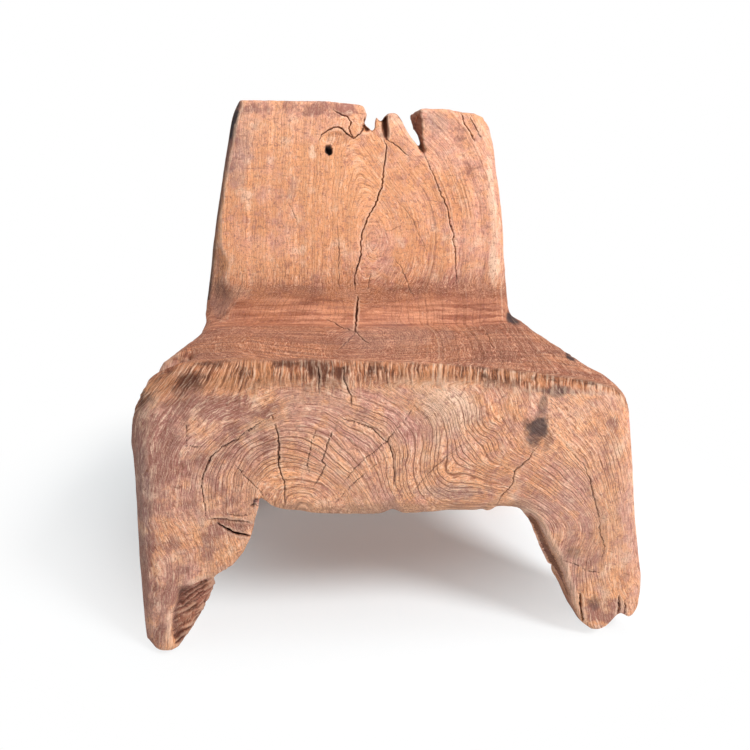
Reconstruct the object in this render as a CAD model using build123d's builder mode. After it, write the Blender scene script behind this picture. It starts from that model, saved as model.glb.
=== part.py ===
from build123d import *
from math import radians, tan
import os

# Low chair with a back, carved from one log. Millimetres, +Z up, feet on Z = 0, front towards -Y.
# Left and right are as seen from the front. Depths are measured from the front face.
# The block is carved first, then divided at its members and along the long checks of the back,
# so that every piece meets its neighbours face to face.

# ---- block and seat ----
body_depth = 590  # front face to the heels
seat_front_width = 636  # front face, shoulder to shoulder
seat_rear_width = 574  # rear end of the block
seat_rear_shift = 8  # its middle, from the middle of the front
right_foot_splay = 37  # how far the right front foot stands outside the seat
seat_height_left = 386  # front crest, left end
seat_height_right = 370  # front crest, right end
seat_height_rear = 358
seat_depth = 444  # front face to the back, at seat level
shoulder_radius = 42  # long edges of the seat, at the front
rear_shoulder_radius = 26
front_edge_radius = 12  # outline of the front face
dish_length = 370
dish_depth = 15
dish_setback = 205  # deepest point of the dish, from the front face

# ---- back ----
back_height = 738  # top left corner, the highest point
back_top_fall = 19  # drop of the top edge from left to right
back_foot_width = 545  # at seat level
back_top_width = 446
back_foot_shift = -3  # middle of the back, from the middle of the seat
back_top_shift = 4
back_recline = 11.5  # degrees, front of the back
back_top_thickness = 56
back_waist_height = 350  # where the rear face is furthest forward
back_waist_setback = 52  # depth of that hollow, from the heels
cove_radius = 60  # hollow between seat and back
cove_sink = 4  # it starts this far under the seat
back_edge_radius = 12
back_corner_radius = 16
corner_clearance = 0.3  # the rounded outline stands this far outside the side faces

# ---- broken top edge, between the left lobe and the right block ----
lobe_width = 227  # left corner to the notch
notch_depth = 44
spur_width = 14
spur_height = 22
spur_root = 3.5  # a thin blade of wood stands this far clear of the lobe
spur_run = 7  # sideways run of its right flank
tongue_gap = 35  # notch, from the lobe to the tongue
tongue_width = 31
tongue_drop = 14  # tongue, below the top edge
tongue_radius = 12
gap_depth = 84  # open V to the right of the tongue
gap_width = 39
gap_step_width = 10  # the V is cut in two slopes
gap_step_depth = 28

# ---- legs and arches ----
arch_height = 202  # underside of the front wall
left_leg_width = 150  # front legs, at the arch
right_leg_width = 134
left_knee_width = 112
left_knee_height = 128
left_ankle_width = 44  # front strip of the left leg, under the scooped step
left_ankle_height = 100
left_toe_width = 36
left_toe_height = 60
right_knee_width = 112
right_knee_height = 108
right_toe_width = 68
left_inner_lean = 0.12  # inner faces run towards +X with depth
scoop_lean = 0.28
right_inner_lean = 0.11
toe_tuck = 10  # outer edge of a foot is cut under
toe_height = 55
rear_arch_height = 196
rear_left_toe_width = 84
rear_right_toe_width = 70
rear_leg_flare = 48  # a rear leg widens by this from foot to arch
rear_arch_radius = 45
side_arch_height = 236
side_arch_radius = 62
front_toe_depth = 96
front_leg_depth = 162
rear_toe_depth = 138
rear_leg_depth = 176

# ---- division ----
wall_depth = 162  # front wall, and what stands behind the rear check
rear_wall_depth = 176
leg_cut_height = 186
heart_check_clearance = 6  # the heart check leaves the notch this far from the tongue
heart_check_lean = 0.15  # sideways run per height
side_check_lean = 0.2
splinter_width = 43  # along the top edge
splinter_lean = 0.39

# ---- places worked out from the sizes ----
front = -body_depth / 2
left = -(seat_front_width + right_foot_splay) / 2
shoulder = left + seat_front_width
right = shoulder + right_foot_splay
middle = left + seat_front_width / 2
rear_left = middle + seat_rear_shift - seat_rear_width / 2
rear_right = rear_left + seat_rear_width
seat_height_front = (seat_height_left + seat_height_right) / 2
below = -40  # blanks and cutters start under the floor
above = back_height + 40
half_way = body_depth / 2
far = body_depth + 20
overcut = 1


def cross_plane(depth):
    """Upright plane across the chair, with X to the right and Y upwards."""
    return Plane.XZ.offset(-(front + depth))


def seat_level(depth):
    """Height of the undished seat along its middle."""
    return seat_height_front - (seat_height_front - seat_height_rear) * depth / body_depth


def on_line(start, end, height):
    """Sideways place of the line through two points, at a height."""
    (x0, z0), (x1, z1) = start, end
    return x0 + (x1 - x0) * (height - z0) / (z1 - z0)


def block_outline(side_left, side_right, foot_right, top_left, top_right):
    """Front view of the block: tucked feet, straight sides and the two shoulders."""
    tuck = toe_tuck * (toe_height - below) / toe_height
    return (
        (side_left + tuck, below),
        (side_left, toe_height),
        (side_left, top_left),
        (side_right, top_right),
        (foot_right, toe_height),
        (foot_right - tuck, below),
    )


def front_arch_outline(depth):
    """Opening between the front legs at a depth: inner edge of each leg, then the flat top."""
    knee = left_inner_lean * depth
    scoop = scoop_lean * depth
    inner = right_inner_lean * depth
    return (
        (left + left_toe_width + scoop, below),
        (left + left_toe_width + scoop, left_toe_height),
        (left + left_ankle_width + scoop, left_ankle_height),
        (left + left_knee_width + knee, left_knee_height),
        (left + left_leg_width + knee, arch_height),
        (shoulder - right_leg_width + inner, arch_height),
        (right - right_knee_width + inner, right_knee_height),
        (right - right_toe_width + inner, 0),
        (right - right_toe_width + inner, below),
    )


# ---- what is cut away behind the chair: from the heels in to the waist, then up the back ----
lean = tan(radians(back_recline))
back_toe = front + seat_depth
back_toe_height = seat_level(seat_depth)
top_rear = back_toe + (back_height - back_toe_height) * lean + back_top_thickness
waist = -front - back_waist_setback

with BuildPart() as behind:
    with BuildSketch(Plane.YZ):
        with BuildLine():
            Polyline(
                (-front, below),
                (-front, 0),
                (waist, back_waist_height),
                (on_line((waist, back_waist_height), (top_rear, back_height), above), above),
                (far, above),
                (far, below),
                close=True,
            )
        make_face()
    extrude(amount=far, both=True)

# ---- seat and legs in one solid ----
with BuildPart() as block:
    front_end = block_outline(left, shoulder, right, seat_height_left, seat_height_right)
    rear_end = block_outline(rear_left, rear_right, rear_right, seat_height_rear, seat_height_rear)
    for depth, outline, rounding in (
        (0, front_end, shoulder_radius),
        (body_depth, rear_end, rear_shoulder_radius),
    ):
        with BuildSketch(cross_plane(depth)):
            with BuildLine():
                Polyline(*outline, close=True)
            make_face()
            fillet(vertices().sort_by(Axis.Y)[-2:], rounding)
    loft(ruled=True)
    fillet(faces().sort_by(Axis.Y)[0].edges().sort_by(Axis.Z)[1:], front_edge_radius)

    dish_radius = ((dish_length / 2) ** 2 + dish_depth**2) / (2 * dish_depth)
    dish_height = seat_level(dish_setback) + dish_radius - dish_depth
    with Locations((middle, front + dish_setback, dish_height)):
        Sphere(dish_radius, mode=Mode.SUBTRACT)

    for depth in (-overcut, half_way):
        with BuildSketch(cross_plane(depth)):
            with BuildLine():
                Polyline(*front_arch_outline(depth), close=True)
            make_face()
    loft(ruled=True, mode=Mode.SUBTRACT)

    rear_arch = (
        (rear_left + rear_left_toe_width, rear_left + rear_left_toe_width + rear_leg_flare),
        (rear_right - rear_right_toe_width, rear_right - rear_right_toe_width - rear_leg_flare),
    )
    with BuildSketch(cross_plane(half_way)) as rear_arch_opening:
        with BuildLine():
            left_foot, left_top = rear_arch[0]
            right_foot, right_top = rear_arch[1]
            Polyline(
                (on_line((left_foot, 0), (left_top, rear_arch_height), below), below),
                (left_top, rear_arch_height),
                (right_top, rear_arch_height),
                (on_line((right_foot, 0), (right_top, rear_arch_height), below), below),
                close=True,
            )
        make_face()
        fillet(vertices().sort_by(Axis.Y)[-2:], rear_arch_radius)
    extrude(amount=-far, mode=Mode.SUBTRACT)

    with BuildSketch(Plane.YZ) as side_arch_opening:
        with BuildLine():
            front_toe, front_top = front + front_toe_depth, front + front_leg_depth
            rear_toe, rear_top = -front - rear_toe_depth, -front - rear_leg_depth
            Polyline(
                (on_line((front_toe, 0), (front_top, side_arch_height), below), below),
                (front_top, side_arch_height),
                (rear_top, side_arch_height),
                (on_line((rear_toe, 0), (rear_top, side_arch_height), below), below),
                close=True,
            )
        make_face()
        fillet(vertices().sort_by(Axis.Y)[-2:], side_arch_radius)
    extrude(amount=far, both=True, mode=Mode.SUBTRACT)
    add(behind.part, mode=Mode.SUBTRACT)
    split(bisect_by=Plane.XY, keep=Keep.TOP)

# ---- back, with the cove that joins it to the seat ----
back_left = middle + back_foot_shift - back_foot_width / 2
back_right = back_left + back_foot_width
top_left = middle + back_top_shift - back_top_width / 2
top_right = top_left + back_top_width
left_edge = (back_left, back_toe_height), (top_left, back_height)
right_edge = (back_right, back_toe_height), (top_right, back_height - back_top_fall)
cove_start = back_toe - cove_radius
cove_floor = seat_level(cove_start - front) - cove_sink
cove_end = back_toe_height + cove_radius
low = cove_floor - shoulder_radius


def face_depth(height):
    """Place of the leaning front of the back at a height."""
    return back_toe + (height - back_toe_height) * lean


with BuildPart() as cove:
    with BuildSketch(Plane.YZ) as cove_profile:
        with BuildLine():
            Polyline(
                (cove_start, low),
                (cove_start, cove_floor),
                (face_depth(back_toe_height - cove_sink), back_toe_height - cove_sink),
                (face_depth(cove_end), cove_end),
                (back_toe + cove_radius, cove_end),
                (back_toe + cove_radius, low),
                close=True,
            )
        make_face()
        fillet(vertices().sort_by_distance((back_toe, back_toe_height))[0], cove_radius)
    extrude(amount=far, both=True)
    with BuildSketch(Plane.XZ):
        inset = back_edge_radius + overcut
        with BuildLine():
            Polyline(
                (on_line(*left_edge, low) + inset, low),
                (on_line(*left_edge, cove_end) + inset, cove_end),
                (on_line(*right_edge, cove_end) - inset, cove_end),
                (on_line(*right_edge, low) - inset, low),
                close=True,
            )
        make_face()
    extrude(amount=far, both=True, mode=Mode.INTERSECT)

with BuildPart() as back:
    for height in (low, above):
        with BuildSketch(Plane.XY.offset(height)):
            with BuildLine():
                Polyline(
                    (on_line(*left_edge, height), face_depth(height)),
                    (on_line(*right_edge, height), face_depth(height)),
                    (on_line(*right_edge, height), far),
                    (on_line(*left_edge, height), far),
                    close=True,
                )
            make_face()
            fillet(vertices().sort_by(Axis.Y)[:2], back_edge_radius)
    loft(ruled=True)
    with BuildSketch(Plane.XZ) as top_outline:
        with BuildLine():
            Polyline(
                (on_line(*left_edge, low) - corner_clearance, low),
                (top_left - corner_clearance, back_height),
                (top_right + corner_clearance, back_height - back_top_fall),
                (on_line(*right_edge, low) + corner_clearance, low),
                close=True,
            )
        make_face()
        fillet(vertices().sort_by(Axis.Y)[-2:], back_corner_radius)
    extrude(amount=far, both=True, mode=Mode.INTERSECT)
    add(cove.part)
    add(behind.part, mode=Mode.SUBTRACT)

    def top_edge(x):
        """Height of the unbroken top edge."""
        return back_height - back_top_fall * (x - top_left) / back_top_width

    notch = top_left + lobe_width
    tongue = notch + tongue_gap
    gap = tongue + tongue_width
    wall = gap + gap_width
    notch_floor = top_edge(notch) - notch_depth
    tongue_top = top_edge(tongue) - tongue_drop
    spur = notch + spur_width
    with BuildSketch(Plane.XZ) as broken_edge:
        with BuildLine():
            Polyline(
                (notch, above),
                (notch + spur_root, notch_floor + spur_height),
                (notch + spur_root, notch_floor),
                (spur, notch_floor + spur_height),
                (spur + spur_run, notch_floor),
                (tongue, notch_floor),
                (tongue, tongue_top),
                (gap, tongue_top),
                (gap + gap_step_width, top_edge(gap) - gap_step_depth),
                (wall, top_edge(wall) - gap_depth),
                (wall, above),
                close=True,
            )
        make_face()
        for x in (tongue, gap):
            fillet(vertices().sort_by_distance((x, tongue_top))[0], tongue_radius)
    extrude(amount=far, both=True, mode=Mode.SUBTRACT)

# ---- the carved chair ----
with BuildPart() as carved:
    add(block.part)
    add(back.part)

# ---- planes that divide it ----
wall_plane = Plane(origin=(0, front + wall_depth, 0), z_dir=(0, 1, 0))
rear_plane = Plane(origin=(0, -front - rear_wall_depth, 0), z_dir=(0, 1, 0))
leg_plane = Plane.XY.offset(leg_cut_height)
middle_plane = Plane(origin=(middle, 0, 0), z_dir=(1, 0, 0))
half_way_plane = Plane(origin=(0, front + half_way, 0), z_dir=(0, 1, 0))
heart_check = Plane(
    origin=(tongue - heart_check_clearance, 0, notch_floor), z_dir=(1, 0, -heart_check_lean)
)
side_check = Plane(
    origin=(wall - overcut, 0, top_edge(wall) - gap_depth), z_dir=(1, 0, side_check_lean)
)
splinter_check = Plane(
    origin=(top_right - splinter_width, 0, back_height - back_top_fall), z_dir=(1, 0, splinter_lean)
)


def keep_side(plane, side):
    """Keeps the part on one side of a plane: towards its normal for +1."""
    split(bisect_by=plane, keep=Keep.TOP if side > 0 else Keep.BOTTOM)


# ---- legs ----
with BuildPart() as front_left_leg:
    add(carved.part)
    keep_side(leg_plane, -1)
    keep_side(half_way_plane, -1)
    keep_side(middle_plane, -1)

with BuildPart() as front_right_leg:
    add(carved.part)
    keep_side(leg_plane, -1)
    keep_side(half_way_plane, -1)
    keep_side(middle_plane, 1)

with BuildPart() as rear_left_leg:
    add(carved.part)
    keep_side(leg_plane, -1)
    keep_side(half_way_plane, 1)
    keep_side(middle_plane, -1)

with BuildPart() as rear_right_leg:
    add(carved.part)
    keep_side(leg_plane, -1)
    keep_side(half_way_plane, 1)
    keep_side(middle_plane, 1)

# ---- seat ----
with BuildPart() as front_wall:
    add(carved.part)
    keep_side(leg_plane, 1)
    keep_side(wall_plane, -1)

with BuildPart() as seat:
    add(carved.part)
    keep_side(leg_plane, 1)
    keep_side(wall_plane, 1)
    keep_side(rear_plane, -1)

# ---- back, in the staves that its checks leave ----
with BuildPart() as back_left_stave:
    add(carved.part)
    keep_side(leg_plane, 1)
    keep_side(rear_plane, 1)
    keep_side(heart_check, -1)

with BuildPart() as back_middle_stave:
    add(carved.part)
    keep_side(leg_plane, 1)
    keep_side(rear_plane, 1)
    keep_side(heart_check, 1)
    keep_side(side_check, -1)

with BuildPart() as back_right_stave:
    add(carved.part)
    keep_side(leg_plane, 1)
    keep_side(rear_plane, 1)
    keep_side(side_check, 1)
    keep_side(splinter_check, -1)

with BuildPart() as back_corner_splinter:
    add(carved.part)
    keep_side(leg_plane, 1)
    keep_side(rear_plane, 1)
    keep_side(side_check, 1)
    keep_side(splinter_check, 1)

pieces = {
    "front_left_leg": front_left_leg,
    "front_right_leg": front_right_leg,
    "rear_left_leg": rear_left_leg,
    "rear_right_leg": rear_right_leg,
    "front_wall": front_wall,
    "seat": seat,
    "back_left_stave": back_left_stave,
    "back_middle_stave": back_middle_stave,
    "back_right_stave": back_right_stave,
    "back_corner_splinter": back_corner_splinter,
}
os.makedirs("parts", exist_ok=True)
for name, piece in pieces.items():
    piece.part.label = name
    export_step(piece.part, f"parts/{name}.step")
box = carved.part.bounding_box()
print("box", box.min, box.max)
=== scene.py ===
from math import cos, pi, sin

import bmesh
import bpy
import numpy as np
from mathutils import Matrix, Vector


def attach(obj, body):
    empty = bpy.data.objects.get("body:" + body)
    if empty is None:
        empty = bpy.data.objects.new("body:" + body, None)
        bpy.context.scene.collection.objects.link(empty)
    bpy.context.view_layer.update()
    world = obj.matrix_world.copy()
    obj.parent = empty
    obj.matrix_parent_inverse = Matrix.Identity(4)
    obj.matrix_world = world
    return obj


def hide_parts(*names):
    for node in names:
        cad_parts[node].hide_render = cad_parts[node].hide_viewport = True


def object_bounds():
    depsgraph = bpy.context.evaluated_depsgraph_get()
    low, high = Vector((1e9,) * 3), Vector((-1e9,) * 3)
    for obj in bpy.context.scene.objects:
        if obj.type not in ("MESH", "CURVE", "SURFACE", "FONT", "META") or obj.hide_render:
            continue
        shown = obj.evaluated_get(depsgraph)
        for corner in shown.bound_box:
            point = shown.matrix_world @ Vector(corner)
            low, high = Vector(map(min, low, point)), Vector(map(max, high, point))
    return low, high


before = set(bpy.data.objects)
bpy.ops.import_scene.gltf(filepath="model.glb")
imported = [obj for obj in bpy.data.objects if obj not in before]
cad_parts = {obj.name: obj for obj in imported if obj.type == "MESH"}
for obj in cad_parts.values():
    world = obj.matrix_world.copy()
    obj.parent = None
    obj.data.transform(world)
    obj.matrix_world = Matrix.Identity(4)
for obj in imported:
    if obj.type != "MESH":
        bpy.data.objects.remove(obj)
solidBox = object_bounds()
front = solidBox[0].y

# the view that the outlines, cracks and patches below are laid out in
camera = {
    "place": (-0.1335, -1.245, 0.65),
    "turn": 0.101,  # radians, towards +X
    "tilt": 0.269,  # down
    "roll": 0.015,
    "lens": 38.4,
    "sensor": 36,
    "frame": 750,  # the view is this wide and high
    "nearest": 0.05,
}
reach = camera["lens"] / camera["sensor"] * camera["frame"]
lookAlong = np.array([
    sin(camera["turn"]) * cos(camera["tilt"]),
    cos(camera["turn"]) * cos(camera["tilt"]),
    -sin(camera["tilt"]),
])
levelRight = np.array([cos(camera["turn"]), -sin(camera["turn"]), 0])
levelUp = np.cross(levelRight, lookAlong)
viewRight = levelRight * cos(camera["roll"]) + levelUp * sin(camera["roll"])
viewUp = -levelRight * sin(camera["roll"]) + levelUp * cos(camera["roll"])
viewPoint = np.array(camera["place"])


def seenAt(points):  # where points in the frame show in the view, across and down
    away = np.asarray(points) - viewPoint
    depth = away @ lookAlong
    middle = camera["frame"] / 2
    return middle + reach * (away @ viewRight) / depth, middle - reach * (away @ viewUp) / depth


def onPlane(across, down, point, normal):  # the place on a plane that shows there
    middle = camera["frame"] / 2
    ray = lookAlong * reach + viewRight * (across - middle) + viewUp * (middle - down)
    normal = np.array(normal, float)
    return viewPoint + ray * ((np.array(point) - viewPoint) @ normal) / (ray @ normal)


def setCamera():
    made = bpy.data.objects.new("camera", bpy.data.cameras.new("camera"))
    bpy.context.scene.collection.objects.link(made)
    made.data.lens = camera["lens"]
    made.data.sensor_width = camera["sensor"]
    made.data.clip_start = camera["nearest"]
    turned = Matrix((viewRight, viewUp, -lookAlong)).transposed().to_4x4()
    made.matrix_world = Matrix.Translation(Vector(camera["place"])) @ turned
    bpy.context.scene.camera = made


setCamera()
print("camera set")

# large numbers that scramble the corners of each noise cell
noise = {"x": 73856093, "y": 19349663, "z": 83492791, "seed": 2654435, "mix": 1274126177}


def ramp(value, start, end):  # 0 before start, 1 after end, smooth between
    t = np.clip((value - start) / (end - start), 0, 1)
    return t * t * (3 - 2 * t)


def rough(points, size, seed):  # smooth noise from -1 to 1 with bumps of that size
    p = np.asarray(points) / np.asarray(size) + seed * 7.31
    cell = np.floor(p).astype(np.int64)
    t = p - cell
    t = t * t * (3 - 2 * t)
    total = np.zeros(len(p))
    for corner in range(8):
        pick = np.array([corner & 1, corner >> 1 & 1, corner >> 2])
        share = np.prod(np.where(pick, t, 1 - t), axis=1)
        x, y, z = (cell + pick).T
        mixed = x * noise["x"] ^ y * noise["y"] ^ z * noise["z"] ^ seed * noise["seed"]
        mixed = (mixed ^ mixed >> 13) * noise["mix"]
        total += share * ((mixed ^ mixed >> 16 & 0xFFFF) % 65521 / 32760 - 1)
    return total


def roughLayers(points, size, seed, layers=3):
    total = 0
    for layer in range(layers):
        total = total + rough(points, np.asarray(size) / 2**layer, seed + layer) / 2**layer
    return total / 1.6


def pull(items, name, width=1, kind=np.float32):  # the named value of every item, as an array
    values = np.empty(len(items) * width, kind)
    items.foreach_get(name, values)
    return values.reshape(-1, width) if width > 1 else values


def readPoints(mesh):
    return pull(mesh.vertices, "co", 3, float)


def writePoints(mesh, points):
    mesh.vertices.foreach_set("co", points.ravel())
    mesh.update()


def readNormals(mesh):
    return pull(mesh.vertex_normals, "vector", 3).astype(float)


def readEdges(mesh):
    return pull(mesh.edges, "vertices", 2, np.int32)


def relax(points, edges, rounds, share):  # draws each point towards its neighbours
    count = np.bincount(edges.ravel(), minlength=len(points))
    one, other = edges.T
    points = points.copy()
    for _ in range(rounds):
        for axis in range(3):
            line = points[:, axis]
            total = np.bincount(one, line[other], len(line)) + np.bincount(other, line[one], len(line))
            line += share * 0.5 * (total / count - line)
    return points


# every block of the frame is fused into one log, then carved as one
log = {
    "voxel": 0.0029,
    "rounding": 9,  # rounds of smoothing on the sawn corners
    "held": 0.95,  # share of it that the notch is spared
}
zones = {  # from where to where the parts of the log begin and end, in metres
    "notchIn": (0.15, 0.18),
    "notchUp": (0.63, 0.66),
    "notchLeft": (-0.03, -0.01),
    "notchRight": (0.09, 0.11),
    "backIn": (0.12, 0.16),
    "backUp": (0.375, 0.43),
    "backHigh": (0.41, 0.50),
    "coveIn": (0.07, 0.13),
    "coveUp": (0.325, 0.345),
    "seatIn": (0.02, 0.035),  # behind the front
    "seatUp": (0.335, 0.36),
    "seatOver": (0.40, 0.46),
}
gap = {  # the broken notch, the tongue and the V in the top edge, in the view's places
    "blank": ((-0.03, 0.105), (0.60, 0.7225)),  # across and up: wood that the notch is cut from
    "face": (0.1675, 0.1975),  # of the back: how far in at the level, and its slope
    "rear": (0.2525, 0.099),
    "level": 0.45,
    "rows": (0.19, 0.214, 0.28, 0.31),  # depths of the cut
    "valley": (384.5, 124, 3.6, 19, 0.016),  # between the spur and the tongue: place, size and depth
    "tongueTip": (398, 11, (118, 136), 0.007),
    "outline": (
        (350, 60), (350, 104), (359, 104.6), (363.5, 106.5), (366, 110), (367.5, 115), (366, 120),
        (363.5, 124.5), (367, 126), (370.5, 129), (372, 136), (374, 135), (374.6, 122),
        (375.8, 116.5), (377.6, 117.6), (379.6, 123), (381, 122.5), (383.5, 117), (387.5, 113.4),
        (391.5, 112.2), (395.5, 112.6), (399, 115.8), (402.5, 121), (405.5, 128), (410, 135.5),
        (416.5, 145), (427, 162), (423.5, 147), (422, 138), (422, 125), (420.5, 115),
        (418, 110.5), (421, 108.3), (430, 108), (430, 60),
    ),
    "behind": {  # where the rear edge of the V's wall shows
        (423.5, 147): (421.5, 149), (422, 138): (418, 139), (422, 125): (411.5, 127),
        (420.5, 115): (408.5, 118), (418, 110.5): (411, 112),
    },
}


def boxAround(across, up, faceAt, rearAt):
    corners = []
    for height in up:
        for near in (faceAt, rearAt):
            for x in across:
                corners.append((x, near(height), height))
    return corners


def addBlank(shape):
    faceDepth, faceSlope = gap["face"]
    rearDepth, rearSlope = gap["rear"]
    corners = boxAround(*gap["blank"], lambda z: faceDepth + faceSlope * (z - gap["level"]),
                        lambda z: rearDepth + rearSlope * (z - gap["level"]))
    made = [shape.verts.new(corner) for corner in corners]
    for face in ((0, 1, 5, 4), (3, 2, 6, 7), (2, 0, 4, 6), (1, 3, 7, 5), (4, 5, 7, 6), (2, 3, 1, 0)):
        shape.faces.new([made[index] for index in face])


def makeAir():  # what the notch and the V take away
    shape = bmesh.new()
    rows = []
    behind = [gap["behind"].get(place, place) for place in gap["outline"]]
    for depth, line in zip(gap["rows"], (gap["outline"], gap["outline"], behind, behind)):
        rows.append([shape.verts.new(onPlane(u, v, (0, depth, 0), (0, 1, 0))) for u, v in line])
    shape.faces.new(rows[0])
    shape.faces.new(rows[-1][::-1])
    for near, far in zip(rows, rows[1:]):
        for index in range(len(near)):
            after = (index + 1) % len(near)
            shape.faces.new((near[after], near[index], far[index], far[after]))
    bmesh.ops.triangulate(shape, faces=shape.faces[:])
    bmesh.ops.recalc_face_normals(shape, faces=shape.faces[:])
    mesh = bpy.data.meshes.new("air")
    shape.to_mesh(mesh)
    shape.free()
    air = bpy.data.objects.new("air", mesh)
    bpy.context.scene.collection.objects.link(air)
    return air


def fuseBlocks(blocks, voxel):
    joined = bmesh.new()
    for block in blocks:
        joined.from_mesh(block.data)
    addBlank(joined)
    mesh = bpy.data.meshes.new("log")
    joined.to_mesh(mesh)
    joined.free()
    uncut = bpy.data.objects.new("log", mesh)
    bpy.context.scene.collection.objects.link(uncut)
    air = makeAir()
    for kind, name in (("REMESH", "fuse"), ("BOOLEAN", "cut"), ("REMESH", "even")):
        modifier = uncut.modifiers.new(name, kind)
        if kind == "REMESH":
            modifier.mode = "VOXEL"
            modifier.voxel_size = voxel
        else:
            modifier.operation = "DIFFERENCE"
            modifier.solver = "MANIFOLD"
            modifier.object = air
    seen = uncut.evaluated_get(bpy.context.evaluated_depsgraph_get())
    fused = bpy.data.meshes.new_from_object(seen)
    bpy.data.objects.remove(uncut)
    bpy.data.objects.remove(air)
    return fused


def lineAt(line, value, along=0):  # the other coordinate of a line of view places at this one
    line = np.array(sorted(line, key=lambda place: place[along]), float)
    return np.interp(value, line[:, along], line[:, 1 - along])


def shiftInView(points, across, down):  # moves points so that they show that far over
    away = (points - viewPoint) @ lookAlong
    moved = points.copy()
    moved[:, 0] += across * away / reach / viewRight[0]
    moved[:, 2] -= down * away / reach / viewUp[2]
    return moved


def sink(points, depth):  # moves points straight away from the camera, so that they show in place
    ray = points - viewPoint
    return points + ray / ray[:, 1:2] * np.asarray(depth)[:, None]


fitting = {"step": 3, "limit": 16, "soften": (0.1, 0.25, 0.3, 0.25, 0.1), "rounds": 2, "held": 0.9}


def fitEdge(points, chosen, line, outward, spread):
    # brings the outermost of the chosen points, in a direction of the view, onto a line
    step = fitting["step"]
    outward = np.array(outward, float) / np.hypot(*outward)
    onward = np.array((-outward[1], outward[0]))
    seen = np.stack(seenAt(points), 1)
    run, out = seen @ onward, seen @ outward
    wanted = np.array(sorted((np.array(place) @ onward, np.array(place) @ outward) for place in line))
    stops = np.arange(wanted[0, 0], wanted[-1, 0] + step, step)
    edge = np.full(len(stops), np.nan)
    bins = np.round((run - stops[0]) / step).astype(int)
    for index in range(len(stops)):
        there = chosen & (bins == index)
        if there.any():
            edge[index] = out[there].max()
    known = ~np.isnan(edge)
    edge = np.interp(stops, stops[known], edge[known])
    shift = np.interp(stops, *wanted.T) - edge
    shift = np.convolve(np.pad(shift, 2, "edge"), fitting["soften"], "valid")
    shift = np.clip(shift, -fitting["limit"], fitting["limit"])
    inward = np.interp(run, stops, edge) - out
    fade = ramp(run, stops[0] - spread * 0.5, stops[0]) * (1 - ramp(run, stops[-1], stops[-1] + spread * 0.5))
    share = (1 - ramp(inward, spread * 0.1, spread)) * fade * chosen
    move = np.interp(run, stops, shift) * share
    return shiftInView(points, move * outward[0], move * outward[1])


# outlines as they show from the camera, in its frame of 750 by 750
outlines = {
    "frontLeft": ((166, 366), (151, 379), (141, 391), (135, 406), (132, 422), (131, 443), (134, 460),
                  (136, 490), (138, 527), (140, 563), (143, 599), (146, 630)),
    "frontRight": ((600, 371), (616, 384), (625, 394), (629, 408), (631, 440), (633, 475), (635, 515),
                   (638, 551), (641, 575), (640, 592), (638, 606)),
    "seatRight": ((510, 314), (520, 320), (531, 329), (549, 341), (568, 353), (586, 365), (605, 375)),
    "seatLeft": ((204, 327), (200, 335), (190, 342), (177, 352), (164, 362), (153, 374)),
    "backLeft": ((237, 106), (231, 125), (227, 149), (223, 173), (220, 197), (216, 221), (213, 245),
                 (211, 269), (208, 293), (205, 317), (204, 325)),
    "backRight": ((483, 115), (488, 127), (492, 145), (495, 161), (498, 185), (501, 209), (503, 233),
                  (504, 257), (506, 281), (508, 305), (510, 313)),
    "lobeTop": ((234, 107), (238, 102), (243, 100), (300, 101), (325, 101), (345, 103), (360, 104.5)),
    "blockTop": ((424, 108), (445, 109), (458, 111), (470, 113), (482, 115), (488, 123)),
    "archEdge": ((276, 508), (283, 511), (300, 511), (312, 513), (345, 514), (380, 514), (388, 511),
                 (395, 507), (398, 513), (412, 513), (428, 512), (450, 510), (477, 510), (500, 510),
                 (516, 510)),
    "leftHaunch": ((290, 511), (276, 508), (268, 502), (262, 500), (259, 508), (256, 517), (254, 528),
                   (250, 540), (243, 553), (232, 566), (222, 571), (216, 573)),
    "rightHaunch": ((519, 509), (524, 513), (529, 520), (534, 533), (539, 545), (545, 557)),
    "leftShin": ((216, 576), (215, 582), (211, 593), (204, 607), (197, 620), (189, 633), (180, 645)),
    "rightShin": ((539, 545), (545, 557), (551, 569), (558, 581), (563, 593), (569, 605), (576, 617)),
    "leftSole": ((147, 637), (152, 645), (158, 650), (168, 651), (176, 649), (184, 641)),
    "rightSole": ((577, 618), (585, 626), (595, 630), (604, 628), (611, 623), (616, 616), (620, 612),
                  (626, 617), (631, 617), (637, 609)),
    "crest": ((131, 412), (134, 402), (141, 391), (151, 379), (166, 367), (200, 364), (300, 362),
              (420, 364), (480, 368), (540, 375), (590, 382), (615, 389), (628, 402)),
}


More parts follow.
